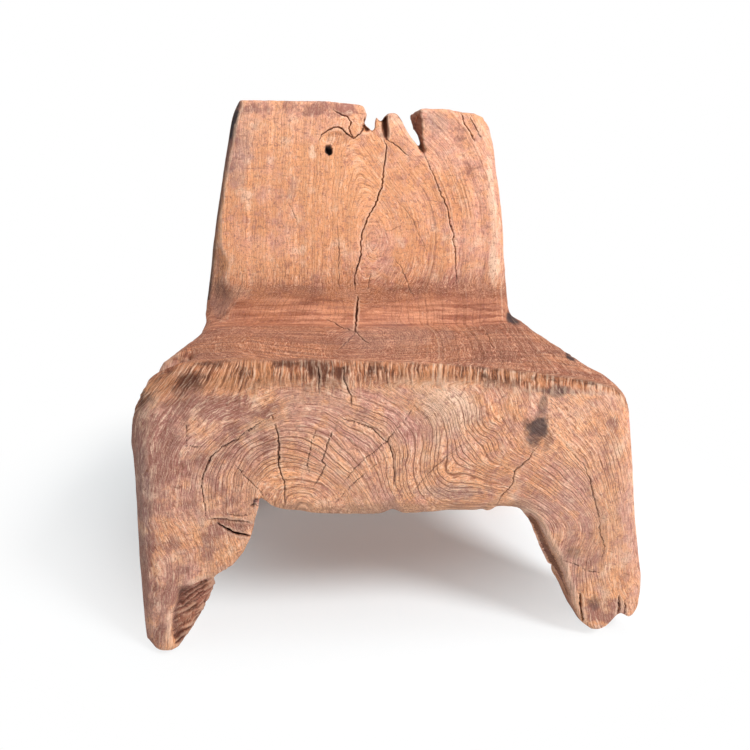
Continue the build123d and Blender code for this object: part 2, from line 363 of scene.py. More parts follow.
def carveOutlines(points, edges, held):  # held points aren't smoothed as much
    for _ in range(fitting["rounds"]):
        x, y, z = points.T
        back = (y > 0.1) & (z > 0.372)
        for name, chosen, outward, spread in (  # which points, which way, how far in they move
            ("frontLeft", (x < 0) & (y < -0.1) & (z < 0.41), (-1, 0), 90),
            ("frontRight", (x > 0.1) & (y < -0.1) & (z < 0.41), (1, 0), 90),
            ("seatRight", (x > 0.1) & (y > -0.25) & (z > 0.3) & ~back, (1, -0.8), 50),
            ("seatLeft", (x < -0.1) & (y > -0.25) & (z > 0.3) & ~back, (-1, -0.8), 50),
            ("backLeft", (x < -0.05) & back, (-1, 0), 90),
            ("backRight", (x > 0.1) & back, (1, 0), 90),
            ("lobeTop", (x < -0.008) & back, (0, -1), 40),
            ("blockTop", (x > 0.085) & back, (0, -1), 40),
            ("archEdge", (x > -0.19) & (x < 0.12) & (y < -0.1) & (z > 0.19) & (z < 0.29), (0, 1), 26),
            ("leftHaunch", (x < -0.08) & (x > -0.27) & (y < -0.03) & (z > 0.09) & (z < 0.30), (1, 1), 40),
            ("rightHaunch", (x > 0.08) & (x < 0.26) & (y < -0.1) & (z > 0.12) & (z < 0.30), (-1, 1), 40),
            ("leftShin", (x < -0.1) & (y < 0) & (z < 0.14), (1, 0.6), 34),
            ("rightShin", (x > 0.1) & (y < 0) & (z < 0.19), (-1, 0.5), 40),
            ("leftSole", (x < -0.1) & (y < 0) & (z < 0.05), (0, 1), 18),
            ("rightSole", (x > 0.1) & (y < 0) & (z < 0.06), (0, 1), 22),
        ):
            points = fitEdge(points, chosen, outlines[name], outward, spread)
        points = relax(points, edges, 2, 1 - fitting["held"] * held)
    return points


logMesh = fuseBlocks(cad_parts.values(), log["voxel"])
points = readPoints(logMesh)
edges = readEdges(logMesh)
x, y, z = points.T
notchZone = ramp(y, *zones["notchIn"]) * ramp(z, *zones["notchUp"]) * ramp(x, *zones["notchLeft"])
notchZone *= 1 - ramp(x, *zones["notchRight"])
points = relax(points, edges, log["rounding"], 1 - log["held"] * notchZone)
print("log fused", len(points))

# the forms that the adze and the weather left
tornBand = {  # rough strip where the front edge broke away under the crest
    "foot": ((131, 424), (140, 413), (165, 405), (185, 406), (215, 400), (240, 402), (262, 394),
             (290, 391), (320, 397), (350, 391), (385, 389), (420, 385), (452, 384), (480, 388),
             (505, 392), (535, 397), (560, 392), (590, 391), (618, 397), (628, 412)),
    "setBack": 0.022,
}
crest = {"stops": 60, "reach": 0.006, "behind": 0.026, "deep": 0.008}  # where its level is read
bevels = {  # worn edges: how wide they show and how deep they go
    "frontLeft": (24, 0.020),
    "frontRight": (14, 0.010),
    "frontBegin": (385, 415),  # below the crest
    "backLeft": (5, 30, 0.030),  # width at the top and at the foot
    "backLeftWidens": (215, 318),
    "backLeftDeepens": (200, 300),
    "backLeftEnd": 330,
    "backRight": (9, 0.010),
    "curve": 1.5,
}
legs = {
    "rightInner": ((528, 508), (540, 521), (553, 549), (564, 570), (569, 585), (573, 602), (583, 623)),
    "rightInnerBegin": (511, 519),
    "rightInnerDepth": 0.05,
    "leftInner": ((232, 573), (215, 575), (203, 579), (192, 585), (180, 588)),  # top edge of the scoop
    "leftInnerSide": ((179, 588), (176, 600), (172, 615), (171, 632), (174, 650)),
    "scoopDepth": 0.018,
    "scoopEnd": (618, 648),  # it gets shallower over these
    "ledge": ((200, 519), (218, 519), (232, 521), (250, 524), (262, 526)),  # torn ledge of the haunch
    "ledgeBegin": (208, 224),
    "ledgeEnd": 275,
    "ledgeDepth": 0.005,
}
hewn = {"long": (0.11, 0.0022), "short": (0.04, 0.0011)}  # length and height of the adze's waves
hollows = {  # beside the notch: across, down, half width, half height, from, to, depth
    "rotRim": (336, 139, 17, 9, 0.55, 1.0, 0.004),
    "brokenLip": (366, 128, 6, 4.5, 0.5, 1.1, 0.012),
}
softSpots = {  # across, down and how wide: corners that many hands have worn smooth
    "seatShoulder": (191, 352, 15), "seatCorner": (210, 320, 12), "archEnd": (500, 508, 24),
    "lobeCorner": (362, 105, 7), "blockCorner": (420, 109, 7), "farCorner": (484, 117, 12),
    "shoulder": (156, 372, 12), "seatFar": (511, 318, 10),
}


def visible(normals, points):
    towards = viewPoint - points
    towards /= np.linalg.norm(towards, axis=1)[:, None]
    return np.sum(normals * towards, axis=1)


def tornShare(points):  # 0 at the foot of the torn band, 1 at its crest and above
    u, v = seenAt(points)
    flat = np.stack([u, v * 0, v * 0], 1)
    foot = lineAt(tornBand["foot"], u) + 3 * rough(flat, 14, 5) + 2 * rough(flat, 5, 6)
    return np.clip((foot - v) / (foot - lineAt(outlines["crest"], u)), -2, 1.6)


def raiseCrest(points):  # the seat rises to a crest along its front edge
    x, y, z = points.T
    wanted = np.array([onPlane(u, v, (0, front + tornBand["setBack"], 0), (0, 1, 0))[[0, 2]]
                       for u, v in outlines["crest"][4:-1]])
    stops = np.linspace(wanted[0, 0], wanted[-1, 0], crest["stops"])
    onEdge = (abs(y - front - crest["behind"]) < crest["deep"]) & (z > 0.3)
    level = [z[onEdge & (abs(x - stop) < crest["reach"])].max() for stop in stops]
    lift = np.interp(stops, *wanted.T) - level
    lift = np.interp(x, stops, np.convolve(np.pad(lift, 2, "edge"), np.ones(5) / 5, "valid"))
    share = ramp(z, 0.29, 0.35) * (1 - ramp(y - front, 0.03, 0.19)) ** 1.3
    points = points.copy()
    points[:, 2] += lift * share
    return points


def carveForms(points, normals):
    points = points.copy()
    x, y, z = points.T
    share = np.clip(tornShare(points), 0, 1) ** 1.2
    near = (1 - ramp(y - front, 0.02, 0.07)) * (z > 0.27)
    points[:, 1] += tornBand["setBack"] * share * near
    sole = ramp(z, 0.004, 0.03)
    longSize, longHeight = hewn["long"]
    shortSize, shortHeight = hewn["short"]
    waves = longHeight * roughLayers(points, longSize, 3) + shortHeight * roughLayers(points, shortSize, 7)
    points += normals * sole[:, None] * waves[:, None]
    return points


def scoopShare(u, v, start, down, across):  # 1 inside the scoop of the left foot, soft at its edges
    below = ramp(v - lineAt(legs["leftInner"], u), start, down)
    return below * ramp(u - lineAt(legs["leftInnerSide"], v, 1), start, across)


def wearEdges(points, normals):  # all by sinking, so that the outlines stay
    x, y, z = points.T
    u, v = seenAt(points)
    seen = ramp(visible(normals, points), -0.05, 0.15)
    onFront = (1 - ramp(y - front, 0.02, 0.12)) * (z < 0.42)
    faceDepth, faceSlope = gap["face"]
    behindFace = y - faceDepth - faceSlope * (z - gap["level"])
    onBack = (1 - ramp(behindFace, 0.012, 0.07)) * (z > 0.37) * (y > 0.1)
    depth = np.zeros(len(points))
    for name, inside in (("frontLeft", u - lineAt(outlines["frontLeft"], v, 1)),
                         ("frontRight", lineAt(outlines["frontRight"], v, 1) - u)):
        reachIn, deep = bevels[name]
        ripple = 1 + 0.35 * rough(points, 0.05, 91)
        worn = (1 - ramp(inside, -2, reachIn * ripple)) ** bevels["curve"]
        depth += onFront * deep * worn * ramp(v, *bevels["frontBegin"])
    top, foot, deep = bevels["backLeft"]
    wide = top + (foot - top) * ramp(v, *bevels["backLeftWidens"])
    wide = wide * (1 + 0.3 * rough(points, 0.03, 92))
    inside = u - lineAt(outlines["backLeft"], v, 1)
    downward = 0.4 + 0.6 * ramp(v, *bevels["backLeftDeepens"])
    depth += onBack * deep * (1 - ramp(inside, wide * 0.2, wide)) * downward * (v < bevels["backLeftEnd"])
    inside = lineAt(outlines["backRight"], v, 1) - u
    reachIn, deep = bevels["backRight"]
    depth += onBack * deep * (1 - ramp(inside, 0, reachIn)) ** bevels["curve"]
    inner = lineAt(legs["rightInner"], v, 1) + 1.2 * rough(points, 0.02, 93)
    rightLeg = onFront * (x > 0.1) * ramp(v, *legs["rightInnerBegin"])
    depth += rightLeg * legs["rightInnerDepth"] * ramp(inner - u, 0, 5)
    belowLedge = v - lineAt(legs["ledge"], u)
    ledge = ramp(belowLedge, -0.5, 1.5) * (1 - ramp(belowLedge, 6, 22))
    alongLedge = ramp(u, *legs["ledgeBegin"]) * (u < legs["ledgeEnd"])
    depth += legs["ledgeDepth"] * ledge * alongLedge * onFront * seen
    leftLeg = (y < front + 0.14) & (x < -0.1) & (v > 570)
    edge = lineAt(outlines["leftShin"], v, 1) - u
    inScoop = scoopShare(u, v, -1, 3, 3) * leftLeg * ramp(edge, 1, 14) * seen
    depth += legs["scoopDepth"] * inScoop * (0.3 + 0.7 * (1 - ramp(v, *legs["scoopEnd"])))
    across, down, wide, high, deep = gap["valley"]
    valley = 1 - ramp(np.hypot((u - across - (v - 125) * 0.1) / wide, (v - down) / high), 0.5, 1.0)
    across, wide, end, tipDeep = gap["tongueTip"]
    tip = (1 - ramp(abs(u - across) / wide, 0.2, 1.2)) * (1 - ramp(v, *end))
    depth += onBack * (deep * valley + tipDeep * tip) * seen
    sunk = 0
    for across, down, wide, high, start, end, deep in hollows.values():
        sunk = sunk + deep * (1 - ramp(np.hypot((u - across) / wide, (v - down) / high), start, end))
    depth += onBack * sunk * seen
    return sink(points, depth)


def halve(mesh, chosen):
    shaped = bmesh.new()
    shaped.from_mesh(mesh)
    shaped.faces.ensure_lookup_table()
    halved = {edge for index in np.flatnonzero(chosen) for edge in shaped.faces[index].edges}
    bmesh.ops.subdivide_edges(shaped, edges=list(halved), cuts=1, use_grid_fill=True)
    shaped.to_mesh(mesh)
    shaped.free()
    mesh.update()


def faceMiddles(mesh):
    faces = mesh.polygons
    return pull(faces, "center", 3).astype(float), pull(faces, "normal", 3).astype(float)


points = raiseCrest(points)
points = carveOutlines(points, edges, notchZone)
writePoints(logMesh, points)
points = carveForms(points, readNormals(logMesh))
points = carveOutlines(points, edges, notchZone)
writePoints(logMesh, points)
points = wearEdges(points, readNormals(logMesh))
points = relax(points, edges, 1, 1 - 0.7 * notchZone)
u, v = seenAt(points)
worn = np.maximum.reduce([1 - ramp(np.hypot(u - across, v - down), wide * 0.5, wide)
                          for across, down, wide in softSpots.values()])
points = relax(points, edges, 14, worn)
writePoints(logMesh, points)
middles, facing = faceMiddles(logMesh)
x, y, z = middles.T
shown = (visible(facing, middles) > 0.05) & ((y < front + 0.035) | (z > 0.33))
halve(logMesh, shown)
points = readPoints(logMesh)
x, y, z = points.T
inGap = (y > 0.15) & (z > 0.64) & (x > -0.03) & (x < 0.11)
points = relax(points, readEdges(logMesh), 2, np.where(inGap, 0.3, 1))
writePoints(logMesh, points)
print("forms carved", len(points))

# cracks, by the places where they show: a line, its width and its depth in metres
cracks = {
    "heart": (((385, 139), (386, 154), (383, 176), (381, 188), (375, 204), (367, 218), (362, 234),
               (360, 256), (356, 274), (355, 290)), 1.5, 0.010),
    "heartFoot": (((358, 297), (357, 310), (355, 332)), 2.0, 0.014),
    "heartSecond": (((371, 270), (368, 290)), 0.9, 0.003),
    "starLeft": (((355, 332), (341, 326), (326, 318)), 1.2, 0.005),
    "starRight": (((355, 330), (362, 338), (368, 343)), 1.3, 0.006),
    "starDown": (((355, 332), (348, 342), (338, 349)), 1.0, 0.004),
    "side": (((424, 154), (428, 163), (437, 182), (447, 206), (453, 234), (456, 260), (456, 283)),
             1.1, 0.007),
    "tongueFoot": (((386, 139), (397, 146), (409, 156)), 0.9, 0.004),
    "arc": (((399, 202), (413, 220), (422, 240), (428, 253)), 0.7, 0.0022),
    "arcLow": (((393, 256), (405, 275), (414, 297)), 0.8, 0.0025),
    "leftFine": (((337, 225), (339, 255), (339, 290)), 0.9, 0.003),
    "leftShort": (((289, 202), (294, 214), (299, 228)), 0.8, 0.002),
    "leftLow": (((244, 271), (240, 285), (236, 300)), 0.8, 0.002),
    "pocketTop": (((333, 109), (337, 112), (347, 116), (351, 122), (349, 129), (353, 138)), 1.6, 0.008),
    "pocketArc": (((319, 140), (323, 134), (329, 129), (337, 127), (343, 129), (346, 134), (353, 138)),
                  1.8, 0.009),
    "pocketRight": (((346, 133), (353, 138), (360, 133), (364, 127)), 1.5, 0.008),
    "blockOne": (((460, 113), (466, 125), (475, 141)), 1.4, 0.009),
    "blockTwo": (((469, 115), (475, 126), (481, 139)), 0.9, 0.004),
    "crossOne": (((365, 186), (373, 186)), 0.9, 0.002),
    "crossTwo": (((427, 200), (437, 201)), 0.8, 0.0015),
    "crossThree": (((384, 231), (394, 229), (402, 225)), 0.8, 0.0015),
    "seatRight": (((487, 330), (489, 340), (493, 347)), 1.0, 0.004),
    "wallLong": (((272, 415), (276, 426), (279, 443), (279, 463), (281, 475), (285, 483), (285, 503)),
                 1.2, 0.007),
    "wallRing": (((276, 413), (262, 421), (249, 430), (236, 440), (224, 446), (214, 454), (207, 466),
                  (203, 476), (202, 487), (204, 503), (206, 518)), 1.0, 0.006),
    "wallMid": (((337, 421), (331, 436), (326, 448), (323, 461), (326, 465), (320, 477), (314, 487)),
                1.0, 0.005),
    "wallMidLeft": (((317, 428), (312, 440), (310, 452), (307, 463), (309, 474)), 0.9, 0.004),
    "wallFan": (((417, 402), (403, 422), (386, 443), (363, 460), (351, 473), (344, 484)), 0.9, 0.003),
    "wallFanLow": (((384, 460), (369, 470), (351, 486), (334, 503)), 0.8, 0.0025),
    "wallLeft": (((234, 464), (247, 478), (259, 490), (263, 496)), 0.9, 0.003),
    "ringTop": (((338, 418), (354, 422), (371, 428), (381, 436), (389, 446), (393, 457), (394, 472),
                 (394, 486)), 1.1, 0.005),
    "rightFan": (((474, 437), (447, 456), (429, 473), (410, 497)), 0.8, 0.002),
    "rightLong": (((541, 442), (528, 459), (515, 472), (513, 484), (503, 494), (498, 502)), 1.0, 0.005),
    "crestCut": (((343, 366), (344, 380), (348, 390), (352, 397), (352, 406)), 1.3, 0.006),
    "crestCutLeft": (((318, 366), (319, 380), (319, 393)), 1.4, 0.006),
    "legLong": (((567, 440), (567, 447), (578, 458), (586, 467), (591, 480), (594, 500), (599, 515),
                 (600, 533), (605, 547), (602, 558)), 0.9, 0.004),
    "legCross": (((560, 559), (575, 564), (587, 571), (599, 573)), 0.8, 0.003),
    "toeInner": (((580, 594), (581, 606), (582, 622)), 2.0, 0.014),
    "toeOuter": (((619, 596), (619, 606), (618, 617)), 2.0, 0.014),
    "toeOuterFine": (((624, 598), (625, 606), (624, 614)), 0.9, 0.005),
    "ledge": (((206, 519), (218, 519), (229, 520), (240, 521), (250, 523)), 1.3, 0.007),
    "ledgeFine": (((228, 514), (240, 516), (252, 515)), 0.8, 0.003),
    "wedge": (((218, 524), (226, 529), (236, 533), (250, 536)), 3.0, 0.012),
    "haunchHole": (((250, 506), (256, 503), (262, 498)), 2.6, 0.010),
    "legStar": (((187, 419), (187, 432), (186, 445)), 0.8, 0.002),
    "legStarArm": (((184, 446), (194, 447), (203, 446)), 0.8, 0.002),
    "scoopOne": (((172, 613), (184, 606), (196, 600), (207, 589)), 1.6, 0.004),
    "scoopTwo": (((172, 620), (184, 613), (198, 607), (208, 594)), 1.5, 0.004),
    "scoopThree": (((173, 630), (184, 622), (196, 613)), 1.3, 0.003),
}
crackLook = {"width": 0.42, "coarse": (8, 1.0), "fine": (2.6, 0.7), "margin": 6}
pits = {  # holes: across, down, half width, half height, depth
    "rotHole": (328.5, 149.5, 3.8, 5.6, 0.016),
    "haunchPit": (257, 502, 4.0, 3.5, 0.008),
}


def nearLine(u, v, line):  # distance to a line of view places, and how far along it, 0 to 1
    line = np.array(line, float)
    lengths = np.linalg.norm(np.diff(line, axis=0), axis=1)
    before = np.concatenate([[0], np.cumsum(lengths)])
    best = np.full(len(u), 1e9)
    along = np.zeros(len(u))
    for index, (start, end) in enumerate(zip(line[:-1], line[1:])):
        run = end - start
        t = np.clip(((u - start[0]) * run[0] + (v - start[1]) * run[1]) / (run @ run), 0, 1)
        away = np.hypot(u - start[0] - t * run[0], v - start[1] - t * run[1])
        closer = away < best
        best[closer] = away[closer]
        along[closer] = (before[index] + t[closer] * lengths[index]) / before[-1]
    return best, along


def crackField(points, normals):  # depth of every crack at each point, and how dark it is
    u, v = seenAt(points)
    flat = np.stack([u, v, u * 0], 1)
    (coarse, far), (fine, little) = crackLook["coarse"], crackLook["fine"]
    u = u + far * rough(flat, coarse, 41) + little * rough(flat, fine, 42)
    v = v + far * rough(flat, coarse, 43) + little * rough(flat, fine, 44)
    shown = visible(normals, points) > 0.02
    depth = np.zeros(len(points))
    dark = np.zeros(len(points))
    for line, width, deep in cracks.values():
        low, high = np.min(line, axis=0) - crackLook["margin"], np.max(line, axis=0) + crackLook["margin"]
        near = np.flatnonzero(shown & (u > low[0]) & (u < high[0]) & (v > low[1]) & (v < high[1]))
        away, along = nearLine(u[near], v[near], line)
        ends = np.sqrt(np.clip(np.sin(pi * np.clip(along * 0.94 + 0.03, 0, 1)), 0, 1))
        waver = 0.75 + 0.35 * rough(np.stack([along * 9, along * 0, along * 0 + width], 1), 1, 47)
        wide = width * crackLook["width"] * (0.35 + 0.65 * ends) * waver
        shade = min(1, 0.45 + deep * 70) * (0.4 + 0.6 * ends) * np.clip(waver + 0.15, 0, 1)
        depth[near] = np.maximum(depth[near], deep * ends * np.clip(1 - away / wide / 1.5, 0, 1))
        dark[near] = np.maximum(dark[near], shade * (1 - ramp(away, wide * 0.35, wide * 1.5)))
    for across, down, wide, high, deep in pits.values():
        off = np.hypot((u - across) / wide, (v - down) / high)
        depth = np.maximum(depth, deep * (1 - ramp(off, 0.5, 1.1)) * shown)
        dark = np.maximum(dark, (1 - ramp(off, 0.8, 1.15)) * shown)
    return depth, dark


middles, facing = faceMiddles(logMesh)
crackDepth, crackDark = crackField(middles, facing)
halve(logMesh, crackDark > 0.01)
points = readPoints(logMesh)
print("cracks laid out", len(points))

# growth rings: a distance across the grain, in millimetres, at every point
ringGuides = {  # ring lines of the front wall, each with its distance from the heart
    146: ((206, 518), (202, 500), (201, 484), (206, 468), (220, 448), (249, 429), (275, 414),
          (305, 406), (330, 410), (350, 420), (371, 427), (386, 441), (393, 455), (394, 486)),
    99: ((236, 500), (237, 480), (245, 462), (262, 447), (283, 440), (300, 442), (312, 448),
         (332, 464), (345, 476), (364, 500)),
    58: ((260, 498), (268, 478), (283, 472), (300, 474), (320, 480), (338, 492)),
    182: ((172, 520), (168, 490), (170, 465), (178, 445), (195, 425), (215, 410), (240, 398)),
    200: ((157, 520), (158, 490), (161, 465), (166, 445), (175, 425), (190, 405)),
    164: ((300, 392), (350, 402), (380, 412), (400, 430), (410, 450), (412, 490)),
    208: ((395, 385), (415, 398), (432, 412), (440, 430), (438, 455)),
    240: ((418, 382), (440, 398), (452, 410), (457, 420)),
    266: ((455, 385), (468, 398), (473, 412), (470, 425)),
    286: ((475, 385), (487, 400), (490, 415), (487, 428)),
    312: ((505, 385), (515, 400), (512, 425)),
    205: ((440, 480), (470, 484), (500, 492), (525, 500), (545, 512), (556, 525)),
    222: ((447, 468), (470, 470), (490, 478), (515, 488), (540, 500), (560, 515), (568, 525)),
    242: ((476, 452), (482, 462), (500, 470), (520, 480), (545, 495), (565, 512), (575, 525)),
    258: ((487, 440), (488, 455), (500, 464), (520, 472), (540, 485), (560, 500), (583, 525)),
    276: ((498, 432), (500, 448), (510, 458), (530, 468), (550, 480), (570, 498), (592, 530)),
    296: ((510, 425), (513, 440), (525, 452), (545, 465), (565, 480), (583, 500), (597, 525)),
    322: ((545, 430), (560, 445), (578, 465), (592, 485), (603, 510), (607, 530)),
    350: ((570, 410), (588, 430), (603, 455), (613, 485), (618, 520), (624, 570)),
    376: ((590, 395), (608, 420), (620, 450), (627, 490), (630, 520)),
    190: ((186, 560), (180, 600)),
    218: ((150, 560), (154, 600)),
    300: ((590, 560), (598, 600)),
}


heart = {  # of the log, behind the front by t: a + b * t + c * t * t, rising towards the back
    "across": (-0.025, -0.217, 0.561),
    "up": (0.195, 0.44, 0.538),
}
# the back's rings: the middle, how flat they are at the left and how much less at the right
backRings = {"centre": (374, 240), "tall": (0.20, 0.55), "turn": 45, "spread": 1.75, "first": 30}
sheet = {"soft": 0.02, "unit": 100, "batch": 20000}  # through the guides, so many points at a time
wander = {"long": (0.045, 2.2), "short": (0.012, 0.7)}  # of every ring: length and how far


def bend(apart):
    return apart * apart * np.log(apart + 1e-6)


def frontRings(u, v):  # smooth sheet through the guides
    places = np.array([p for line in ringGuides.values() for p in line], float) / sheet["unit"]
    values = np.array([value for value, line in ringGuides.items() for _ in line], float)
    count = len(places)
    apart = np.linalg.norm(places[:, None] - places[None], axis=2)
    flat = np.hstack([np.ones((count, 1)), places])
    system = np.block([[bend(apart) + sheet["soft"] * np.eye(count), flat], [flat.T, np.zeros((3, 3))]])
    solved = np.linalg.solve(system, np.concatenate([values, np.zeros(3)]))
    result = np.empty(len(u))
    for start in range(0, len(u), sheet["batch"]):
        part = slice(start, start + sheet["batch"])
        here = np.stack([u[part], v[part]], 1) / sheet["unit"]
        apart = np.linalg.norm(here[:, None] - places[None], axis=2)
        result[part] = bend(apart) @ solved[:count] + solved[count] + here @ solved[count + 1:]
    return result


def backShare(points):  # 0 on the seat and below, 1 on the back
    return ramp(points[:, 2], *zones["backUp"]) * ramp(points[:, 1], *zones["backIn"])


def ringDistance(points):
    x, y, z = points.T
    u, v = seenAt(points)
    t = y - front
    (a, b, c), (d, e, f) = heart["across"], heart["up"]
    heartX = a + b * t + c * t * t
    heartZ = d + e * t + f * t * t
    slope = np.arctan(e + 2 * f * t)
    solid = np.hypot(x - heartX, (z - heartZ) * np.cos(slope)) * 1000
    across, down = u - backRings["centre"][0], v - backRings["centre"][1]
    low, more = backRings["tall"]
    tall = low + more * ramp(across, -backRings["turn"], backRings["turn"])
    backFace = np.hypot(across, down * tall) * backRings["spread"] + backRings["first"]
    onBack = backShare(points)
    onFront = (1 - ramp(y - front, 0.012, 0.04)) * (1 - ramp(z, 0.37, 0.39))
    rings = solid * (1 - onBack) + backFace * onBack
    near = onFront > 0
    rings[near] = rings[near] * (1 - onFront[near]) + frontRings(u[near], v[near]) * onFront[near]
    (longSize, far), (shortSize, little) = wander["long"], wander["short"]
    return rings + (far * roughLayers(points, longSize, 11) + little * rough(points, shortSize, 15))


rings = ringDistance(points)
print("rings laid out")

relief = {  # heights in metres
    "ring": 0.00055,
    "fibre": 0.00035,
    "band": 0.0020,
    "groove": 0.0022,
    "upperRight": (1.5, (400, 440), (560, 600), (420, 470)),  # rings stand out more there, and where
}


def ringProfile(rings, points):  # uneven ridges and furrows across the grain
    line = np.stack([rings / 6.2, rings * 0, points[:, 2] * 6], 1)
    fine = np.stack([rings / 3.0, rings * 0 + 9, points[:, 2] * 9], 1)
    return 0.6 * rough(line, 1, 21) + 0.5 * rough(fine, 1, 22)


def ridged(points, size, seed):
    return 1 - 2 * abs(rough(points, size, seed))


strandLean = {"most": 0.85, "over": (145, 310), "from": 385}  # none right of where it is over


def strokeAcross(points):  # where along the torn band each strand stands
    u, v = seenAt(points)
    slant = strandLean["most"] * (1 - ramp(u, *strandLean["over"]))
    flat = np.stack([u / 18, v / 11, u * 0], 1)
    return u + slant * (v - strandLean["from"]) + 1.4 * rough(flat, 1, 34) + 0.8 * rough(flat * 2.3, 1, 35)


def strokes(points):
    u, v = seenAt(points)
    across = strokeAcross(points)
    flat = np.stack([across, v * 0.13, v * 0], 1)
    clump = 0.5 + 0.9 * rough(np.stack([across, v * 0.9, v * 0], 1), 13, 30)
    return (0.34 * ridged(flat, 6.0, 31) * clump + 0.32 * ridged(flat, 3.4, 32)
            + 0.45 * rough(flat, 17, 33) + 0.34 * ridged(flat, 1.9, 36))


normals = readNormals(logMesh)
x, y, z = points.T
u, v = seenAt(points)
facingView = ramp(visible(normals, points), 0, 0.2)
share = tornShare(points)
ridges = ringProfile(rings, points)
strand = strokes(points)
onTorn = ramp(share + 0.22 * strand, -0.15, 0.5) * (1 - ramp(share, 0.98, 1.15))
onTorn *= (1 - ramp(y - front, 0.03, 0.09)) * (z > 0.27)
crackDepth, crackDark = crackField(points, normals)
sole = ramp(z, 0.003, 0.012)
more, left, right, foot = relief["upperRight"]
upperRight = 1 + more * ramp(u, *left) * (1 - ramp(u, *right)) * (1 - ramp(v, *foot))
lift = relief["ring"] * ridges * upperRight * (1 - onTorn) * ramp(z, 0.01, 0.05)
lift += relief["fibre"] * roughLayers(points * (1, 1, 0.3), 0.006, 51)
lift += onTorn * relief["band"] * (strand - 0.5)
inScoop = scoopShare(u, v, 0, 6, 5) * ((y < front + 0.16) & (x < -0.1) & (v > 575))
flow = np.stack([(u - v * 1.3) / 26, (v + u * 0.75) / 3.3 + 0.6 * rough(points, 0.01, 57), u * 0], 1)
grooves = ridged(flow, 1, 55) * inScoop * facingView
lift += relief["groove"] * grooves
points += normals * ((lift - crackDepth) * sole)[:, None]
points[:, 2] = np.maximum(points[:, 2], 0)
writePoints(logMesh, points)
print("relief carved")

# what the wood's colour depends on is kept with each point
patches = {  # where they show: across, down, half width, half height, turn, seed and strength
    "clear": (
        (400, 450, 120, 60, 0, 97, 1), (300, 460, 110, 50, 0, 98, 0.8), (570, 500, 60, 90, 0, 99, 0.8),
    ),
    # grime and painted shade: darker patches, painted shade on the left side of the legs and the wall, which
    # the light misses, and grime elsewhere
    "grimeAndShade": (
        (150, 450, 34, 70, 0, 49, 1), (215, 408, 70, 14, 0, 50, 1), (170, 600, 26, 50, 0, 13, 0.6),
        (200, 480, 30, 40, 0, 12, 0.35), (143, 560, 10, 60, 0, 45, 1), (250, 440, 40, 26, 0.2, 46, 0.4),
        (300, 348, 140, 12, 0, 39, 0.5), (480, 345, 60, 12, 0.3, 38, 0.7), (560, 388, 60, 5, 0.1, 37, 1),
        (420, 300, 120, 14, 0, 30, 0.5), (610, 440, 10, 30, 0, 29, 0.4), (162, 634, 14, 14, 0, 28, 0.8),
        (606, 612, 24, 14, 0, 27, 0.8), (236, 530, 36, 40, 0, 11, 0.4), (330, 108, 110, 9, 0, 10, 0.7),
        (232, 135, 22, 50, 0.1, 9, 0.6), (470, 150, 22, 40, 0, 8, 0.5),
    ),
    # warm tint and painted light: brighter amber patches where the light falls, as on the right leg's rim and
    # along the crest, partly the wood's own warmer tone
    "warmTintAndLight": (
        (300, 500, 70, 60, 0, 25, 0.9), (420, 470, 60, 26, 0, 21, 0.8), (232, 535, 30, 30, 0, 17, 0.7),
        (400, 384, 200, 6, 0, 16, 1), (570, 440, 40, 26, 0, 15, 0.5), (440, 376, 100, 12, 0, 24, 1),
        (606, 520, 16, 60, 0, 23, 0.8), (232, 545, 16, 18, 0, 20, 0.7), (350, 300, 120, 10, 0, 19, 0.4),
    ),
    "rose": (
        (165, 455, 38, 80, 0, 67, 1), (280, 408, 110, 14, 0, 68, 0.8), (520, 440, 40, 26, 0.3, 69, 0.5),
        (230, 470, 30, 40, 0, 70, 0.4),
    ),
    "stainAndShade": (
        (536, 427, 13, 17, 0.45, 61, 0.9), (543, 406, 6, 20, 0.2, 62, 0.55), (556, 391, 20, 6, 0.1, 63, 0.7),
        (548, 440, 5, 12, 0.2, 14, 0.4), (594, 604, 7, 7, 0, 64, 0.55), (574, 552, 7, 7, 0, 60, 0.4),
        (515, 318, 10, 6, 0.5, 65, 1), (570, 357, 7, 3, 0.7, 66, 1),
    ),
    "ash": (
        (218, 300, 14, 22, 0.2, 75, 0.6), (452, 492, 40, 8, 0, 76, 0.8), (530, 505, 26, 8, 0.5, 48, 0.6),
        (190, 445, 16, 16, 0, 77, 0.25), (395, 336, 60, 14, 0, 78, 0.5), (142, 500, 9, 70, 0, 79, 0.5),
    ),
    # pale patches: edge wear, and painted highlights on the ridges at the upper right, where the light falls
    "pale": (
        (450, 408, 30, 24, 0.4, 83, 0.6), (425, 395, 18, 12, 0.5, 84, 0.35), (345, 378, 3, 13, 0, 87, 0.9),
        (490, 384, 12, 5, 0.1, 80, 0.7), (530, 388, 18, 4, 0.1, 88, 0.7), (150, 392, 14, 12, 0, 89, 0.6),
        (238, 292, 12, 7, 0, 90, 0.35), (196, 622, 14, 5, -1.0, 58, 0.4),
    ),
}
